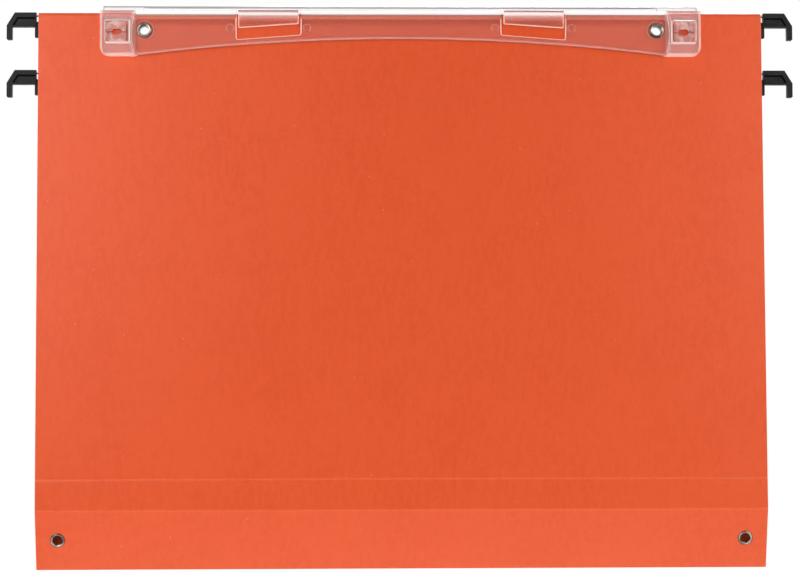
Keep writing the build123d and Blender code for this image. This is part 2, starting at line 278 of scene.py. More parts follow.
# %% [markdown]
# ## Orange card
# The sheet is a heavy pressed card: even orange, a little cloudy, with fine fibres and a few pale
# and dark flecks. Scored creases and cut edges are paler where the surface is broken. The pattern
# reads the object's own coordinates, so it runs on unbroken from one folded strip to the next.

# %% Card pattern
MM = 0.001
CARD_HALF_WIDTH = 158.5
CREASE_A_Z = -197.7
CREASE_B = Vector((-1.2, -210.9))
card_finish, card, place = new_finish("orange_card")
x, y, z = place.split()
cloud = place.noise(26.0, 4.0, 0.55)
grain = place.noise(950.0, 3.0, 0.6)
mottle = place.noise(420.0, 3.0, 0.65, stretch=(1.0, 1.0, 0.45))
fibre_one = place.noise(700.0, 2.0, 0.5, stretch=(1.0, 1.0, 0.35), turn=(0, 0.5, 0))
fibre_two = place.noise(700.0, 2.0, 0.5, stretch=(0.35, 1.0, 1.0), turn=(0, 0.3, 0))
fibres = fibre_one.ease(0.60, 0.80) + fibre_two.ease(0.60, 0.80)
cells = {"Vector": place, "Scale": 150.0, "Randomness": 1.0}
spot = card.add("ShaderNodeTexVoronoi", {"feature": "F1"}, cells)
draw = card.add("ShaderNodeTexVoronoi", {"feature": "F1"}, cells, out=1).split()[0]
pale_fleck = spot.ease(0.06, 0.03) * draw.ease(0.72, 0.74)
dark_fleck = spot.ease(0.05, 0.02) * draw.ease(0.07, 0.05)
front_side = y.ease(-0.8 * MM, -1.2 * MM)
score_a, score_b = (abs(z - v * MM).ease(0.7 * MM, 0.1 * MM) for v in (CREASE_A_Z, CREASE_B.y))
score = (score_a + score_b) * front_side * grain.ease(0.25, 0.6)
cut_edge = abs(x).ease((CARD_HALF_WIDTH - 0.15) * MM, (CARD_HALF_WIDTH - 0.02) * MM)
print("creases at", CREASE_A_Z, "and", round(CREASE_B.y, 1), "mm")

# %% Card finish
CARD_ORANGE = (0.697, 0.0855, 0.0195, 1)
CARD_DEEP = (0.640, 0.0685, 0.0135, 1)
CARD_PALE = (0.84, 0.165, 0.070, 1)
FLECK_PALE = (0.9, 0.42, 0.28, 1)
FLECK_DARK = (0.32, 0.03, 0.012, 1)
tone = cloud.ease(0.3, 0.7, 0.0, 0.35) + grain.ease(0.3, 0.7, -0.12, 0.12)
tone = tone + mottle.ease(0.3, 0.7, -0.35, 0.35)
broken = card.math("MINIMUM", fibres * 0.16 + score * 0.35 + cut_edge * 0.6, 1.0)
colour = broken.tint(tone.tint(CARD_ORANGE, CARD_DEEP), CARD_PALE)
colour = (pale_fleck * 0.4).tint(colour, FLECK_PALE)
colour = (dark_fleck * 0.55).tint(colour, FLECK_DARK)
height = grain * 0.6 + fibres * 0.25 + cloud * 0.5
values = {"Strength": 0.25, "Distance": 0.12 * MM, "Height": height}
values = {
    "Base Color": colour,
    "Roughness": grain.ease(0.2, 0.8, 0.36, 0.44),
    "Normal": card.add("ShaderNodeBump", None, values),
    "Specular IOR Level": 0.35,
}
surface(card, card.add("ShaderNodeBsdfPrincipled", None, values))
print("orange card finish:", len(card_finish.node_tree.nodes), "nodes")

# %% [markdown]
# ## Growing shapes with Geometry Nodes
# Two kinds of shape here follow a simple rule: the card is one side line made as wide as the
# folder, and every eyelet is a profile turned round a circle. A tree of Geometry Nodes holds such a
# rule once, with named inputs for its sizes. These helpers build a tree, run it on a small starting
# mesh and keep the plain mesh that comes out, so nothing is left live on the finished piece.

# %% Tree helpers
SAME_POINT = 2e-7


def new_tree(name, inputs):
    """An empty tree with named inputs, and the sockets that carry them."""
    tree = bpy.data.node_groups.new(name, "GeometryNodeTree")
    for title, kind in inputs:
        tree.interface.new_socket(title, in_out="INPUT", socket_type=f"NodeSocket{kind}")
    tree.interface.new_socket("Geometry", in_out="OUTPUT", socket_type="NodeSocketGeometry")
    return tree, tree.nodes.new("NodeGroupInput").outputs


def tree_node(tree, kind, settings=None, **links):
    """Adds a node to a tree: settings first, then links or values by socket name."""
    node = tree.nodes.new(kind)
    for key, value in (settings or {}).items():
        setattr(node, key, value)
    for key, value in links.items():
        socket = node.inputs[key.replace("_", " ")]
        if isinstance(value, bpy.types.NodeSocket):
            tree.links.new(value, socket)
        else:
            socket.default_value = value
    return node.outputs[0]


def sideways(tree, length, factor):
    """A vector across the folder, as long as a number in a tree times a fixed factor."""
    product = tree_node(tree, "ShaderNodeMath", {"operation": "MULTIPLY"}, Value=length)
    product.node.inputs[1].default_value = factor
    return tree_node(tree, "ShaderNodeCombineXYZ", X=product)


def close_tree(tree, geometry, finish):
    """Ends a tree: copies become real faces, and the faces get their finish."""
    real = tree_node(tree, "GeometryNodeRealizeInstances", Geometry=geometry)
    dressed = tree_node(tree, "GeometryNodeSetMaterial", Geometry=real, Material=finish)
    tree.links.new(dressed, tree.nodes.new("NodeGroupOutput").inputs[0])
    print(tree.name, "tree:", len(tree.nodes), "nodes")


# %% Mesh helpers
def evaluated_mesh(piece):
    """A plain mesh of what a piece's modifiers make."""
    graph = bpy.context.evaluated_depsgraph_get()
    return bpy.data.meshes.new_from_object(piece.evaluated_get(graph))


def grow(name, start, tree, values):
    """Runs a tree on a starting mesh and gives the closed mesh that it makes, faces outwards."""
    seed = bpy.data.objects.new(name, start)
    bpy.context.scene.collection.objects.link(seed)
    maker = seed.modifiers.new(tree.name, "NODES")
    maker.node_group = tree
    for item in tree.interface.items_tree:
        if item.name in values:
            maker[item.identifier] = values[item.name]
    made = evaluated_mesh(seed)
    seed.modifiers.remove(maker)
    bpy.data.objects.remove(seed)
    bpy.data.meshes.remove(start)
    shell = bmesh.new()
    shell.from_mesh(made)
    bmesh.ops.remove_doubles(shell, verts=shell.verts, dist=SAME_POINT)
    bmesh.ops.recalc_face_normals(shell, faces=shell.faces)
    shell.to_mesh(made)
    shell.free()
    made.name = name
    return made


def new_piece(name, mesh, finish, sharp=35):
    """Makes an object of a mesh, with smooth shading that stops at sharp edges."""
    limit = math.radians(sharp)
    shell = bmesh.new()
    shell.from_mesh(mesh)
    for edge in shell.edges:
        edge.smooth = edge.smooth and edge.is_manifold and edge.calc_face_angle(0) < limit
    for face in shell.faces:
        face.smooth = True
    shell.to_mesh(mesh)
    shell.free()
    mesh.materials.clear()
    mesh.materials.append(finish)
    piece = bpy.data.objects.new(name, mesh)
    bpy.context.scene.collection.objects.link(piece)
    return piece


print("points closer than", SAME_POINT, "m are merged")

# %% [markdown]
# ## Folding the sheet
# Seen from the side the sheet is a single line: up the front, over the bar and back down as a glued
# hem, then the scored base, the bottom fold and the rear leaf with its own hem. Each stretch is a
# ribbon: the line gets the card's thickness, and a tree sweeps that thin strip across the folder
# and closes its far end. A Solidify modifier could give the thickness as well, but here both skins
# are drawn point by point, so that they stay in step round each fold. Next to every bend a guard
# line holds the long flat faces' smooth shading flat.

# %% Card width tree
WIDTH_INPUTS = (("Strip", "Geometry"), ("Width", "Float"), ("Finish", "Material"))
card_width, given = new_tree("card_width", WIDTH_INPUTS)
cap = tree_node(
    card_width,
    "GeometryNodeTransform",
    Geometry=given["Strip"],
    Translation=sideways(card_width, given["Width"], -0.5),
)
swept = tree_node(
    card_width,
    "GeometryNodeExtrudeMesh",
    {"mode": "FACES"},
    Mesh=cap,
    Offset=sideways(card_width, given["Width"], 1.0),
    Individual=False,
)
other_cap = tree_node(card_width, "GeometryNodeFlipFaces", Mesh=cap)
shut = tree_node(card_width, "GeometryNodeJoinGeometry", Geometry=swept)
card_width.links.new(other_cap, shut.node.inputs[0])
joined = tree_node(card_width, "GeometryNodeMergeByDistance", Geometry=shut, Distance=SAME_POINT)
close_tree(card_width, joined, given["Finish"])

# %% Ribbon helper
CARD_HALF = 0.18
FLAT_GUARD = 0.1


def guarded(corners):
    """A side line with a guard point close to each end of its long stretches."""
    line = corners[:1]
    for before, after in zip(corners, corners[1:]):
        guard = (after - before).normalized() * FLAT_GUARD
        if (after - before).length > 4 * FLAT_GUARD:
            line += [before + guard, after - guard]
        line.append(after)
    return line


def ribbon(name, corners, finish):
    """Sweeps a side line, in millimetres, across the folder as a strip of card."""
    line = guarded(corners)
    points = []
    for i, point in enumerate(line):
        ahead = (line[min(i + 1, len(line) - 1)] - line[max(i - 1, 0)]).normalized()
        side = Vector((-ahead.y, ahead.x)) * CARD_HALF
        points += [(0, skin.x * MM, skin.y * MM) for skin in (point + side, point - side)]
    faces = [(i, i + 1, i + 3, i + 2) for i in range(0, len(points) - 2, 2)]
    strip = bpy.data.meshes.new(name)
    strip.from_pydata(points, [], faces)
    sizes = {"Width": 2 * CARD_HALF_WIDTH * MM, "Finish": finish}
    return new_piece(name, grow(name, strip, card_width, sizes), finish)


print("ribbons are", 2 * CARD_HALF, "mm thick")

# %% [markdown]
# ## Side lines
# The hem is the one tricky stretch: the card turns over the bar in a half circle, runs down behind
# it, ramps in to the leaf and lies flat against it where it is glued. The line is drawn through
# corners that are then rounded, as card never folds to a point. The upper crease of the base is
# only scored, so the front leaf's line dips there. The rear leaf is the front one turned round.

# %% Arcs
RAMP_ROUND = 0.8


def rounded(corners, radius, steps=6):
    """A line through corners, each turned with a small arc."""
    line = [corners[0]]
    for before, corner, after in zip(corners, corners[1:], corners[2:]):
        back, ahead = (before - corner).normalized(), (after - corner).normalized()
        half = back.angle(ahead) / 2
        reach = radius / math.tan(half)
        centre = corner + (back + ahead).normalized() * radius / math.sin(half)
        first, last = corner + back * reach - centre, corner + ahead * reach - centre
        turn = first.angle_signed(last)
        for step in range(steps + 1):
            line.append(centre + Matrix.Rotation(-turn * step / steps, 2) @ first)
    return line + [corners[-1]]


def arc(centre, radius, start, end, steps):
    """Points of an arc about a fold. Angle 0 points to the front, and 90 degrees points down."""
    turns = [start + (end - start) * i / steps for i in range(steps + 1)]
    return [centre + radius * Vector((-math.cos(t), -math.sin(t))) for t in turns]


print("ramps are rounded to", RAMP_ROUND, "mm")

# %% Hem lines
SKIN_Y = -1.4
CARD_TOP = 6.3
SOLID_HALF = 0.2
HEM_RADIUS = 1.4
HEM_STEPS = 16
RAMP_TOP_Z, RAMP_LOW_Z = -5.58, -8.78
FLAP_Y, FLAP_END_Z = -1.0, -20.78
FLAT_STOPS = (-60.0, -15.0)
GROOVE_SIDE = ((0.9, 0), (0.45, 0.05), (0.2, 0.13))
GROOVE = [(-o, d) for o, d in GROOVE_SIDE] + [(0, 0.16)] + list(GROOVE_SIDE[::-1])
REAR_LEAN = math.radians(1.229)
REAR_ORIGIN = Vector((1.235, -25.182))


def hem(bottom, groove_z=None):
    """Side line of a leaf from its bottom up, over the bar and down to the glued flap's end."""
    line = [Vector((SKIN_Y, bottom))]
    if groove_z is not None:
        line += [Vector((SKIN_Y + depth, groove_z + offset)) for offset, depth in GROOVE]
    line += [Vector((SKIN_Y, z)) for z in FLAT_STOPS]
    top = Vector((0, CARD_TOP - SOLID_HALF - HEM_RADIUS))
    turns = [math.pi * i / HEM_STEPS for i in range(HEM_STEPS + 1)]
    line += [top + HEM_RADIUS * Vector((-math.cos(t), math.sin(t))) for t in turns]
    ramp = [(HEM_RADIUS, 0), (HEM_RADIUS, RAMP_TOP_Z), (FLAP_Y, RAMP_LOW_Z), (FLAP_Y, FLAP_END_Z)]
    return line + rounded([Vector(corner) for corner in ramp], RAMP_ROUND)


def on_rear(line):
    """Places a side line on the rear leaf, which faces the other way and leans a little."""
    inwards = Vector((-math.cos(REAR_LEAN), -math.sin(REAR_LEAN)))
    up = Vector((-math.sin(REAR_LEAN), math.cos(REAR_LEAN)))
    return [REAR_ORIGIN + inwards * p.x + up * p.y for p in line]


print("hem line:", len(hem(CREASE_B.y)), "points")

# %% [markdown]
# ## Holes for the eyelets
# An eyelet sits in a punched hole. Round holes in a wide flat face are easiest to cut with a
# Boolean modifier and a drill, and the cut mesh is kept without the modifier.

# %% Punch
EYELET_HOLE = 2.35
DRILL_LENGTH = 12.0
DRILL_SIDES = 48


def punch(piece, centres, axis):
    """Cuts round eyelet holes through a piece along an axis."""
    drill = bmesh.new()
    turn = Vector(axis).to_track_quat("Z", "Y").to_matrix().to_4x4()
    for centre in centres:
        bmesh.ops.create_cone(
            drill,
            cap_ends=True,
            segments=DRILL_SIDES,
            radius1=EYELET_HOLE * MM,
            radius2=EYELET_HOLE * MM,
            depth=DRILL_LENGTH * MM,
            matrix=Matrix.Translation(Vector(centre) * MM) @ turn,
        )
    tool_mesh = bpy.data.meshes.new("drill")
    drill.to_mesh(tool_mesh)
    drill.free()
    tool = bpy.data.objects.new("drill", tool_mesh)
    bpy.context.scene.collection.objects.link(tool)
    cut = piece.modifiers.new("punch", "BOOLEAN")
    cut.object, cut.solver = tool, "EXACT"
    old = piece.data
    piece.data = evaluated_mesh(piece)
    piece.modifiers.remove(cut)
    bpy.data.meshes.remove(old)
    bpy.data.objects.remove(tool)
    bpy.data.meshes.remove(tool_mesh)


print("eyelet holes are", 2 * EYELET_HOLE, "mm wide")

# %% [markdown]
# ## The pieces of card
# The real sheet is one piece, but its leaves move apart, so each rigid stretch is a piece on its
# own body. The short stretches at the folds are ribbons of their own, between two bodies and on
# neither. Neighbours meet on the same line at rest, a seam's width from the fold.

# %% Front leaf and base
SEAM = 1.5
BEND = 0.2
BASE_TILT = math.radians(18)
BASE_DEPTH = 26.4
HOLDER_EYELET = Vector((112.2, -1.7))
BASE_EYELET_X = 149.0
base_down = Vector((math.sin(BASE_TILT), -math.cos(BASE_TILT)))
base_out = Vector((-math.cos(BASE_TILT), -math.sin(BASE_TILT)))

front_card = ribbon("front_card", hem(CREASE_B.y + SEAM, CREASE_A_Z), card_finish)
punch(front_card, [(s * HOLDER_EYELET.x, 0, HOLDER_EYELET.y) for s in (-1, 1)], (0, 1, 0))
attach(front_card, "front_leaf")
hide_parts("front_panel")

crease_b = [Vector((SKIN_Y, CREASE_B.y + SEAM))]
crease_b += arc(CREASE_B, BEND, 0, BASE_TILT, 6)
crease_b.append(CREASE_B + base_out * BEND + base_down * SEAM)
base_crease = ribbon("base_crease", crease_b, card_finish)

base_line = [CREASE_B + base_out * BEND + base_down * d for d in (SEAM, BASE_DEPTH - SEAM)]
base_card = ribbon("base_card", base_line, card_finish)
base_middle = CREASE_B + base_down * BASE_DEPTH / 2
holes = [(s * BASE_EYELET_X, base_middle.x, base_middle.y) for s in (-1, 1)]
punch(base_card, holes, (0, base_out.x, base_out.y))
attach(base_card, "base")
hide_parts("base_panel")
print("card", 2 * CARD_HALF_WIDTH, "mm wide, base", BASE_DEPTH, "mm deep")

# %% Rear strip and leaf
FOLD_C = Vector((6.958, -236.008))
fold_c = [FOLD_C + base_out * BEND - base_down * SEAM]
fold_c += arc(FOLD_C, BEND, BASE_TILT, math.pi + REAR_LEAN, 20)
fold_c += on_rear([Vector((SKIN_Y, CREASE_B.y + SEAM))])
bottom_crease = ribbon("bottom_crease", fold_c, card_finish)

strip_ends = (CREASE_B.y + SEAM, CREASE_A_Z - SEAM)
strip_line = on_rear([Vector((SKIN_Y, z)) for z in strip_ends])
rear_strip_card = ribbon("rear_strip_card", strip_line, card_finish)
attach(rear_strip_card, "rear_strip")
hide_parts("rear_strip")

crease_d = on_rear([Vector((SKIN_Y, CREASE_A_Z + SEAM * i / 10)) for i in range(-10, 11)])
rear_crease = ribbon("rear_crease", crease_d, card_finish)

rear_card = ribbon("rear_card", on_rear(hem(CREASE_A_Z + SEAM)), card_finish)
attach(rear_card, "rear_leaf")
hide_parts("rear_panel")
print("card pieces:", [o.name for o in (front_card, base_card, rear_strip_card, rear_card)])

# %% [markdown]
# ## Fold strips
# At a fold the card belongs to the body on each side. Here the strips at the folds keep their rest
# shape: their placement is written into their meshes, and they are not given to either body. The
# bend is kept about as tight as the card is thick.


def bend(piece):
    """Writes a fold strip's placement into its mesh; the fold does not turn."""
    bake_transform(piece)


bend(base_crease)
bend(bottom_crease)
bend(rear_crease)
print("folds bend at", [o.name for o in (base_crease, bottom_crease, rear_crease)])

# %% [markdown]
# ## Rounding a moulding
# The mouldings already have the right form as solids, but every edge of them is knife sharp, and a
# sharp edge never catches the light. A copy of each solid is merged, its flat faces are joined, and
# chosen edges are rounded. One width for all would be held back by the finest step, so each group
# of edges has its own width. Shading stops at the border of a rounded strip, so flat faces stay
# flat.

# %% Moulding helper
LONGEST_ROUND = 40.0
SOLID_MERGE = 2e-6
FLAT_ANGLE = math.radians(0.5)
FOLD_ANGLE = math.radians(28)


def edges_to_round(shell, chosen):
    """The short outer edges whose two ends both pass a test in millimetres."""
    found = []
    for edge in shell.edges:
        folded = edge.is_convex and edge.calc_face_angle(0) > FOLD_ANGLE
        short = edge.calc_length() < LONGEST_ROUND * MM
        if folded and short and all(chosen(v.co / MM) for v in edge.verts):
            found.append(edge)
    return found


def moulding(name, node, finish, rounds):
    """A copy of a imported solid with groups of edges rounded: a test, a width, steps, a guard."""
    shell = bmesh.new()
    shell.from_mesh(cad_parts[node].data)
    bmesh.ops.remove_doubles(shell, verts=shell.verts, dist=SOLID_MERGE)
    bmesh.ops.dissolve_limit(shell, angle_limit=FLAT_ANGLE, verts=shell.verts, edges=shell.edges)
    for face in shell.faces:
        face.material_index = 0
    for edge in shell.edges:
        edge.smooth = True
    for chosen, width, steps, guard in rounds:
        strips = bmesh.ops.bevel(
            shell,
            geom=edges_to_round(shell, chosen),
            offset=width * MM,
            offset_type="OFFSET",
            segments=steps,
            profile=0.5,
            affect="EDGES",
            clamp_overlap=guard,
            miter_outer="ARC",
        )["faces"]
        inside = set(strips)
        for edge in {edge for face in strips for edge in face.edges}:
            edge.smooth = inside.issuperset(edge.link_faces)
    bmesh.ops.dissolve_degenerate(shell, dist=SOLID_MERGE, edges=shell.edges)
    bmesh.ops.triangulate(shell, faces=shell.faces, quad_method="BEAUTY", ngon_method="BEAUTY")
    bmesh.ops.dissolve_degenerate(shell, dist=SOLID_MERGE, edges=shell.edges)
    bmesh.ops.recalc_face_normals(shell, faces=shell.faces)
    mesh = bpy.data.meshes.new(name)
    shell.to_mesh(mesh)
    shell.free()
    piece = new_piece(name, mesh, finish, sharp=20)
    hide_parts(node)
    print(name, len(mesh.polygons), "faces")
    return piece


# %% [markdown]
# ## Black hooks
# The hooks are moulded in black plastic with a satin face, a little spark-eroded grain and a round
# mark where a pin pushed each one out of its mould. Black plastic shows mostly its reflections, so
# its colour hardly varies and its roughness does the work. The corners of the recess in each hook
# catch no light at all, so a dull black is mixed in along them as painted shade.

# %% Hook corners, painted shade
HOOK_SLANT = 0.614
black_finish, black, place = new_finish("black_plastic")
across, _, high = place.split()
across = abs(across)
# Painted shade: a mask of the recess corners below the flange and beside the slanted shoulder.
painted_pocket_shade = 0.0
for hook_z in (0.0, REAR_ORIGIN.y):
    level = high - hook_z * MM
    below_top = level.ease(4.3 * MM, 4.1 * MM)
    slant = across + HOOK_SLANT * level
    below_slant = slant.ease(170.4 * MM, 170.1 * MM)
    under = level.ease(3.3 * MM, 3.6 * MM) * below_top * across.ease(159.8 * MM, 160.0 * MM)
    aside = slant.ease(169.3 * MM, 169.6 * MM) * level.ease(0.7 * MM, 0.9 * MM)
    painted_pocket_shade = painted_pocket_shade + (under + aside) * below_slant * below_top
painted_pocket_shade = black.math("MINIMUM", painted_pocket_shade, 0.9)
print("hook corners at", 0.0, "and", round(REAR_ORIGIN.y, 1), "mm")

# %% Hook finish
HOOK_BLACK, HOOK_GREY = (0.0055, 0.0053, 0.005, 1), (0.014, 0.0137, 0.013, 1)
PAINTED_SHADE_BLACK = (0.003, 0.003, 0.003, 1)
spark = place.noise(2600.0, 2.0, 0.6)
haze = place.noise(260.0, 3.0, 0.5)
values = {"Strength": 0.45, "Distance": 0.06 * MM, "Height": spark}
bump = black.add("ShaderNodeBump", None, values)
values = {
    "Base Color": haze.ease(0.3, 0.7).tint(HOOK_BLACK, HOOK_GREY),
    "Roughness": haze.ease(0.25, 0.75, 0.30, 0.52),
    "Normal": bump,
    "Specular IOR Level": 0.16,
}
satin = black.add("ShaderNodeBsdfPrincipled", None, values)
# A dull black, the painted shade in those corners.
values = {
    "Base Color": PAINTED_SHADE_BLACK,
    "Roughness": 0.9,
    "Normal": bump,
    "Specular IOR Level": 0.02,
}
corner = black.add("ShaderNodeBsdfPrincipled", None, values)
surface(black, painted_pocket_shade.mix(satin, corner))
print("black plastic finish:", len(black_finish.node_tree.nodes), "nodes")

# %% Hooks
HOOK_ROUND = 0.16
for side in ("left", "right"):
    for leaf, body in (("front", "front_leaf"), ("rear", "rear_hanger")):
        edges = [(lambda end: True, HOOK_ROUND, 2, True)]
        hook = moulding(f"{leaf}_{side}_hook_moulding", f"{leaf}_{side}_hook", black_finish, edges)
        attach(hook, body)

# %% [markdown]
# ## Clear label holder
# The holder is one clear moulding: a thin plate with an arched rim, two clip tabs in windows, a
# lens strip over the folder's top edge and two thick end blocks with snap sockets. In clear plastic
# the eye reads the edges, where light comes out as pale or dark lines. They could be left to
# refraction, but then they move with every lamp, so here they are painted: masks say where painted
# highlights and painted shade lie on the moulding. The masks use the distance from the middle,
# because both ends are alike, and the direction of each face.

# %% Plate, tab and lens masks
BLOCK_X = 115.9
TAB_X, TAB_Y = (45.0, 71.4), (-5.2, -3.6)
LENS_LOW, LENS_HIGH = 6.75, 6.9
clear_finish, clear, place = new_finish("clear_plastic")
across, deep, high = place.split()
across = abs(across)
facing = clear.add("ShaderNodeNewGeometry", out="True Normal").split()
lie = abs(facing[1])
wall = lie.ease(0.66, 0.45)
corner = lie.ease(0.97, 0.8)


def slope(value, low, top, start=0.0, end=1.0):
    """Goes from start to end while a place passes from low to top, in millimetres."""
    return value.ease(low * MM, top * MM, start, end)


def zone(value, low, top, soft=0.2):
    """One inside a range in millimetres, falling softly to zero outside it."""
    return slope(value, low - soft, low) * slope(value, top + soft, top)


in_block = slope(across, BLOCK_X, BLOCK_X + 0.4) * slope(high, LENS_HIGH, LENS_LOW)
in_lens = slope(high, LENS_LOW, LENS_HIGH)
on_tab = zone(across, *TAB_X, 0.1) * zone(deep, *TAB_Y, 0.1)
on_plate = (1 - in_block) * (1 - on_tab) * (1 - in_lens)
# Painted shade: a dark line along the top of each tab. Below it, a painted highlight that fades
# downwards.
tab_top = on_tab * zone(high, 6.1, 8.0)
tab_shine = slope(high, 4.0, 4.9, 0.0, 0.40) + slope(high, 1.6, 4.6, 0.0, 0.18)
tab_shine = tab_shine * on_tab * slope(high, 5.9, 5.5)
# Painted shade: a dark line along the crest of the lens and a fainter one at its ends, broken by
# streaks.
streak = place.noise(45.0, 2.0, 0.5, stretch=(0.35, 1, 1)).ease(0.35, 0.6, 0.8, 1.0)
crest = slope(high - slope(across, 108.0, 114.0, 0.0, 0.5 * MM), 7.8, 8.1) * slope(deep, 0.2, -0.2)
lens_rim = most(crest, in_lens * slope(across, 129.8, 130.0) * 0.25) * streak
plate_front = on_plate * slope(deep, -2.5, -2.7)
# Painted highlight: a white band at the foot of the lens. Painted shade: a brown line under it. A
# faint painted highlight lies on the band below that.
lens_foot = zone(high, 5.25, 6.9, 0.15) * plate_front
foot_line = zone(high, 4.55, 5.15) * plate_front
band = zone(high, 3.3, 4.4) * plate_front
# Painted shade: the plate is darker from under the band down to the windows.
under_band = slope(high, -1.0, 2.6) * slope(high, 3.35, 3.0) * on_plate
print("tabs from", TAB_X[0], "to", TAB_X[1], "mm, end blocks from", BLOCK_X, "mm")

# %% [markdown]
# ## Arch and end blocks
# The lower rim of the plate is an arc of a very large circle, so its painted lines follow the
# distance from that circle. Each end block has a square recess with a slot in it: its near walls
# get painted highlights as cream lines, its far walls hardly show, and the walls of the slot's pit
# get painted shade, dark with the card's red.

# %% Arch and block masks
ARCH_CENTRE, ARCH_RADIUS = 926.55, 920.9
rise = high + ARCH_CENTRE * MM
arch_rise = clear.math("SQRT", across * across + rise * rise) - ARCH_RADIUS * MM
# Painted highlight on the rim's face, painted shade on the downward wall of the arch, and painted
# highlights along the windows' edges, weaker on the tabs.
rim_face = zone(deep, -3.56, -3.44, 0.06) * on_plate * slope(arch_rise, 1.3, 0.5)
arch_wall = facing[2].ease(-0.5, -0.8) * on_plate * slope(across, 115.5, 115.0)
window_edge = lie.ease(0.995, 0.88) * zone(across, 43.0, 73.0) * slope(arch_rise, 1.3, 1.6)
window_edge = window_edge * (1 - 0.65 * on_tab)
# Painted shade on the socket's inner wall, and painted highlights on its sides and sill.
socket_wall = zone(across, 119.0, 119.3, 0.15) * zone(high, -6.4, 1.9, 0.3)
socket_side = zone(across, 118.2, 118.8, 0.15) * zone(high, -7.2, 2.2, 0.3)
socket_sill = zone(high, -7.75, -7.35, 0.12) * zone(across, 118.9, 129.0, 0.3)
socket_rim = socket_side * 0.5 + socket_sill * 0.7
# Painted shade on the walls of the slot's pit.
in_pit = zone(across, 119.2, 129.0) * zone(high, -7.0, 2.1)
pit_wall = wall * slope(deep, -3.0, -2.85) * in_pit
# Where the recess's far walls hold back the painted highlight, and a painted highlight along the
# block's outer rim and lower edge.
far_top = zone(high, 1.7, 3.1) * zone(across, 118.6, 130.0)
far_side = zone(across, 128.9, 130.0, 0.15) * zone(high, -7.4, 3.0)
block_rim = most(zone(across, 130.3, 131.5, 0.3), slope(high, -11.9, -12.4) * 0.6)
# Milky patches in the recess floor. They use the pale look, so they also carry its painted glow.
milk_and_glow = place.noise(330.0, 2.0, 0.5).ease(0.42, 0.62)
milk_and_glow = milk_and_glow * zone(across, 121.0, 129.2, 0.6) * zone(high, -6.8, 2.0, 0.4)
# Painted shade: a grey band across each block's recess.
grey_band = zone(high, 2.7, 3.4, 0.6) * zone(across, 118.5, 130.0, 0.8) * in_block
print("arch of radius", ARCH_RADIUS, "mm")

# %% [markdown]
# ## Looks of clear plastic
# Thin plastic is nearly invisible and the thick blocks are a little milky. Edges that would scatter
# light get painted highlights, pale with a faint painted glow, and edges that would lead the eye
# away from the light get painted shade, dark. One Principled shader makes each look, and the masks
# choose between them. A single shader with a varying transmission would be shorter, but the export
# does not bake that.

# %% Clear looks
flow = place.noise(60.0, 2.0, 0.5, stretch=(0.3, 1, 1))
dust = place.noise(1500.0, 2.0, 0.6)
values = {"Strength": 0.05, "Distance": 0.2 * MM, "Height": flow}
bump = clear.add("ShaderNodeBump", None, values)


def clear_look(haze, rough, tint, glow=0.0, light=(1.0, 1.0, 1.0, 1)):
    """One look, with a share of milky haze and a painted glow that stands in for light carried
    inside.
    """
    values = {
        "Base Color": tint,
        "Roughness": dust.ease(0.3, 0.8, rough, rough + 0.1),
        "Normal": bump,
        "IOR": 1.49,
        "Transmission Weight": 1.0 - haze,
        "Emission Color": light,
        "Emission Strength": glow,
    }
    return clear.add("ShaderNodeBsdfPrincipled", None, values)


# Painted shade: the thin look is tinted darker under the band and on the tabs.
dim = most(under_band * 0.36, on_tab * 0.12)
thin = clear_look(0.008, 0.03, dim.tint((0.93, 0.92, 0.92, 1), (0.52, 0.44, 0.44, 1)))
thick = clear_look(0.10, 0.05, (0.85, 0.83, 0.84, 1))
# Painted highlights: a pale look with a painted glow, cream on the edges and whiter on the lens
# foot and the tab shine.
cool = most(lens_foot, tab_shine)
cream = cool.tint((1.0, 0.84, 0.75, 1), (0.97, 0.95, 0.98, 1))
painted_glow = cool.tint((1.0, 0.76, 0.64, 1), (1.0, 0.97, 1.0, 1))
painted_highlight = clear_look(0.80, 0.35, cream, 0.14, painted_glow)
# Painted shade: a dark look in mauve, brown, dark red and grey.
mauve = foot_line.tint((0.30, 0.25, 0.28, 1), (0.40, 0.23, 0.17, 1))
mauve = tab_top.tint(mauve, (0.42, 0.17, 0.15, 1))
mauve = most(arch_wall, socket_wall, pit_wall).tint(mauve, (0.42, 0.09, 0.05, 1))
shaded = clear_look(0.85, 0.30, grey_band.tint(mauve, (0.46, 0.38, 0.38, 1)))
print("clear looks: thin, thick, frosted and shaded")

# %% [markdown]
# ## Putting the clear finish together
# Light could be traced through the holder as it bends, but in plastic this thin that brings more
# noise than shape. So lamps shine straight through it: shadow rays see a plain filter, darker at
# the edges and tabs, which shades the card behind.

# %% Clear finish
# Where the painted highlights and the painted shade lie over the thin and thick plastic.
outer = most(lie.ease(0.97, 0.6), window_edge) * (1 - in_lens) * (1 - tab_top) * (1 - in_block)
inner = wall * (0.75 - 0.55 * most(far_top, far_side)) + corner * 0.10 + socket_rim + milk_and_glow * 0.3
inner = (inner + block_rim * corner * 0.36) * in_block * (1 - pit_wall)
pale = most(
    outer * (1 - arch_wall), inner, tab_shine, lens_foot * 0.9, rim_face * 0.22, band * 0.08
)
dark = most(
    lens_rim,
    foot_line * 0.9,
    arch_wall * 0.8,
    socket_wall * in_block * 0.7,
    grey_band * 0.3,
    tab_top * 0.6,
    pit_wall * 0.95,
)
body = dark.mix(pale.mix(in_block.mix(thin, thick), painted_highlight), shaded)
passing = clear.add("ShaderNodeBsdfTransparent", None, {"Color": (0.885, 0.88, 0.885, 1)})
blocking = clear.add("ShaderNodeBsdfTransparent", None, {"Color": (0.55, 0.50, 0.49, 1)})
filtered = most(outer, on_tab, wall * in_block).mix(passing, blocking)
surface(clear, clear.ray("Is Shadow Ray").mix(body, filtered))
print("clear finish:", len(clear_finish.node_tree.nodes), "nodes")

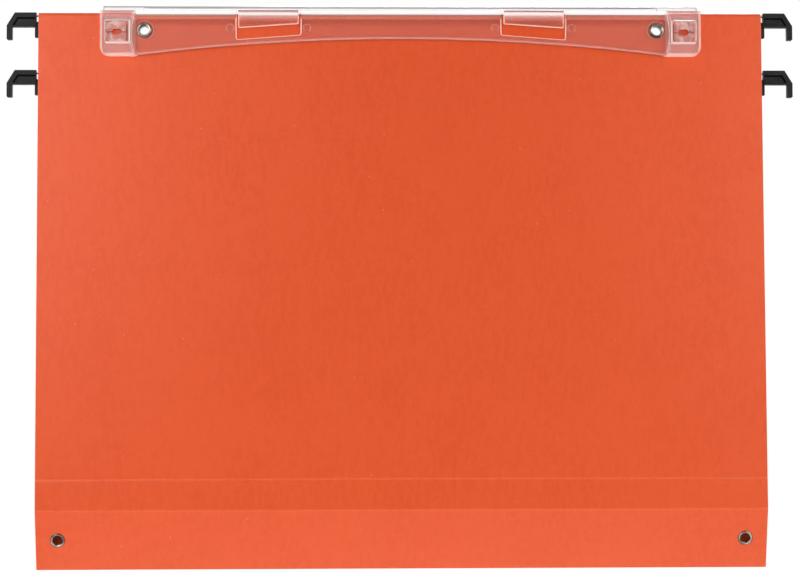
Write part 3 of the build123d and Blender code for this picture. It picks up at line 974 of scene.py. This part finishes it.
# %% [markdown]
# ## Moulding the holder
# The holder's edges are rounded in groups: a soft edge round the windows, the sockets, the blocks
# and the tabs, and a very fine one on the thin plate. The order matters, because a group can only
# take the edges that the groups before it have left.

# %% Label holder
holder_rounds = [
    # windows
    (lambda e: 43.5 < abs(e.x) < 72.5 and -3.2 < e.y < -2.7 and e.z < 5.39, 0.55, 3, False),
    # recesses of the sockets
    (lambda e: 118.4 < abs(e.x) < 129.8 and -7.8 < e.z < 2.9 and e.y < -5.4, 0.40, 2, True),
    # end blocks, front and middle
    (lambda e: abs(e.x) > BLOCK_X and e.y < -4.3, 0.30, 2, True),
    (lambda e: abs(e.x) > BLOCK_X and -4.3 < e.y < -2.9, 0.12, 1, True),
    # rim and face of the plate
    (lambda e: abs(e.x) < BLOCK_X and -3.6 < e.y < -3.4, 0.25, 2, True),
    (lambda e: abs(e.x) < 115.0 and -3.2 < e.y < -2.85, 0.10, 1, True),
    # tabs, top and sides
    (lambda e: 43 < abs(e.x) < 73 and e.y < -4.6 and e.z > 5.0, 0.60, 4, True),
    (lambda e: 43 < abs(e.x) < 73 and e.y < -4.5, 0.45, 2, False),
]
holder = moulding("clear_holder", "label_holder", clear_finish, holder_rounds)
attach(holder, "front_leaf")

# %% [markdown]
# ## Metal
# The eyelets are drawn from thin nickelled brass, and the bars are zinc-plated strip. Both are
# smooth metal, so a faint smear or brush line in the roughness is what tells them from a mirror.
# The eyelets are also darker in random patches, and their steep sides get painted shade.

# %% Metal finishes
NICKEL, NICKEL_DARK_PATCH, NICKEL_PAINTED_SHADE = (
    (0.56, 0.48, 0.40, 1),
    (0.06, 0.043, 0.036, 1),
    (0.024, 0.014, 0.011, 1),
)
ZINC_DARK, ZINC_PALE = (0.50, 0.51, 0.53, 1), (0.66, 0.67, 0.69, 1)
nickel_finish, nickel, place = new_finish("eyelet_nickel")
smear = place.noise(700.0, 3.0, 0.6)
patch = place.noise(260.0, 1.0, 0.5).ease(0.40, 0.62)
colour = (patch * 0.7).tint(NICKEL, NICKEL_DARK_PATCH)
# Painted shade on the eyelets' steep sides.
facing = abs(nickel.add("ShaderNodeNewGeometry", out="True Normal").split()[1])
colour = facing.ease(0.98, 0.74).tint(colour, NICKEL_PAINTED_SHADE)
values = {"Base Color": colour, "Metallic": 1.0, "Roughness": smear.ease(0.3, 0.7, 0.07, 0.16)}
surface(nickel, nickel.add("ShaderNodeBsdfPrincipled", None, values))

steel_finish, steel, place = new_finish("bar_zinc")
brush = place.noise(2200.0, 2.0, 0.5, stretch=(0.02, 1, 1))
colour = brush.tint(ZINC_DARK, ZINC_PALE)
values = {"Base Color": colour, "Metallic": 1.0, "Roughness": brush.ease(0.3, 0.7, 0.28, 0.48)}
surface(steel, steel.add("ShaderNodeBsdfPrincipled", None, values))
for name in ("front_bar", "rear_bar"):
    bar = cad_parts[name].data
    bar.materials.clear()
    bar.materials.append(steel_finish)
print("metal finishes:", nickel_finish.name, steel_finish.name)

# %% [markdown]
# ## Round things in pairs
# Eyelets and pin marks are all turned shapes that come in pairs across the folder. They could be
# spun one by one, but one tree does them all: it sweeps a profile round a circle, sets a copy at
# each end of a line, and tilts the pair onto its leaf. Only the numbers differ from pair to pair.

# %% Turned pair tree
PAIR_INPUTS = (
    ("Profile", "Geometry"),
    ("Sweep Radius", "Float"),
    ("Segments", "Int"),
    ("Spacing", "Float"),
    ("Place", "Vector"),
    ("Tilt", "Vector"),
    ("Finish", "Material"),
)
turned_pair, given = new_tree("turned_pair", PAIR_INPUTS)
loop = tree_node(turned_pair, "GeometryNodeMeshToCurve", Mesh=given["Profile"])
path = tree_node(
    turned_pair,
    "GeometryNodeCurvePrimitiveCircle",
    Resolution=given["Segments"],
    Radius=given["Sweep Radius"],
)
ring = tree_node(turned_pair, "GeometryNodeCurveToMesh", Curve=path, Profile_Curve=loop)
line = tree_node(
    turned_pair,
    "GeometryNodeMeshLine",
    {"mode": "OFFSET"},
    Count=2,
    Start_Location=sideways(turned_pair, given["Spacing"], -0.5),
    Offset=sideways(turned_pair, given["Spacing"], 1.0),
)
copies = tree_node(turned_pair, "GeometryNodeInstanceOnPoints", Points=line, Instance=ring)
set_down = tree_node(
    turned_pair,
    "GeometryNodeTransform",
    Geometry=copies,
    Translation=given["Place"],
    Rotation=given["Tilt"],
)
close_tree(turned_pair, set_down, given["Finish"])

# %% Pair helper
SWEEP_RADIUS = 2.6
ROUND_STEPS = 56
QUARTER = math.pi / 2


def pair(name, profile, closed, spacing, place, tilt, finish):
    """A turned pair: profile points are radius and height in millimetres, height to the front."""
    points = [((r - SWEEP_RADIUS) * MM, -h * MM, 0) for r, h in profile]
    count = len(points)
    edges = [(i, (i + 1) % count) for i in range(count if closed else count - 1)]
    mesh = bpy.data.meshes.new(name)
    mesh.from_pydata(points, edges, [])
    values = {
        "Sweep Radius": SWEEP_RADIUS * MM,
        "Segments": ROUND_STEPS,
        "Spacing": spacing * MM,
        "Place": [0.0, place.x * MM, place.y * MM],
        "Tilt": [tilt, 0.0, 0.0],
        "Finish": finish,
    }
    return new_piece(name, grow(name, mesh, turned_pair, values), finish, sharp=50)


print("turned pieces have", ROUND_STEPS, "sides")

# %% [markdown]
# ## Eyelets
# An eyelet is a short tube with a rolled lip at each end. The lip is half an ellipse, and the same
# profile serves both pairs: only the thickness between the lips differs, the card, bar and holder
# at the top and the bare card at the base.

# %% Eyelets
LIP_MIDDLE, LIP_HALF, LIP_RISE, LIP_STEPS = 2.62, 0.58, 0.36, 12
TUBE_INNER, TUBE_OUTER, LIP_THICK = 2.0, 2.25, 0.15
HOLDER_GRIP, HOLDER_FACE_Y = 4.65, -3.05
BASE_GRIP = 0.4


def eyelet_profile(grip):
    """Side of a rolled eyelet that grips a thickness between its two flanges."""
    turns = [math.pi * i / LIP_STEPS for i in range(LIP_STEPS + 1)]
    lip = [(LIP_MIDDLE + LIP_HALF * math.cos(t), LIP_RISE * math.sin(t)) for t in turns]
    lip.append((TUBE_INNER, -LIP_THICK))
    far_lip = [(r, -grip - h) for r, h in lip[::-1]]
    return lip + far_lip + [(TUBE_OUTER, -grip), (TUBE_OUTER, 0.0)]


front_rings = pair(
    "holder_eyelets",
    eyelet_profile(HOLDER_GRIP),
    True,
    2 * HOLDER_EYELET.x,
    Vector((HOLDER_FACE_Y, HOLDER_EYELET.y)),
    QUARTER,
    nickel_finish,
)
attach(front_rings, "front_leaf")
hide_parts("left_holder_eyelet", "right_holder_eyelet")
base_rings = pair(
    "base_eyelets",
    eyelet_profile(BASE_GRIP),
    True,
    2 * BASE_EYELET_X,
    base_middle + base_out * BASE_GRIP,
    QUARTER + BASE_TILT,
    nickel_finish,
)
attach(base_rings, "base")
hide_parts("left_base_eyelet", "right_base_eyelet")
for ring in (front_rings, base_rings):
    low, high = Vector(ring.bound_box[0]), Vector(ring.bound_box[6])
    print(ring.name, [round(v / MM, 2) for v in low], [round(v / MM, 2) for v in high])

# %% [markdown]
# ## Pin marks
# Each hook has a round mark, a few hundredths of a millimetre high, where a pin pushed it out of
# its mould. It could be bump in the finish, but as a real shape it also shows on the mesh.

# %% Pin marks
PIN_MARK = [(0.0, 0.05), (0.35, 0.05), (0.5, 0.03), (0.55, 0.0), (0.55, -0.1), (0.0, -0.1)]
PIN_X, PIN_Y, PIN_Z = 166.6, 1.6, 5.25
front_pins = pair(
    "front_hook_pin_marks",
    PIN_MARK,
    False,
    2 * PIN_X,
    Vector((-PIN_Y, PIN_Z)),
    QUARTER,
    black_finish,
)
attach(front_pins, "front_leaf")
rear_pins = pair(
    "rear_hook_pin_marks",
    PIN_MARK,
    False,
    2 * PIN_X,
    on_rear([Vector((PIN_Y, PIN_Z))])[0],
    QUARTER + REAR_LEAN,
    black_finish,
)
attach(rear_pins, "rear_hanger")
print("pin marks", PIN_MARK[0][1], "mm high")
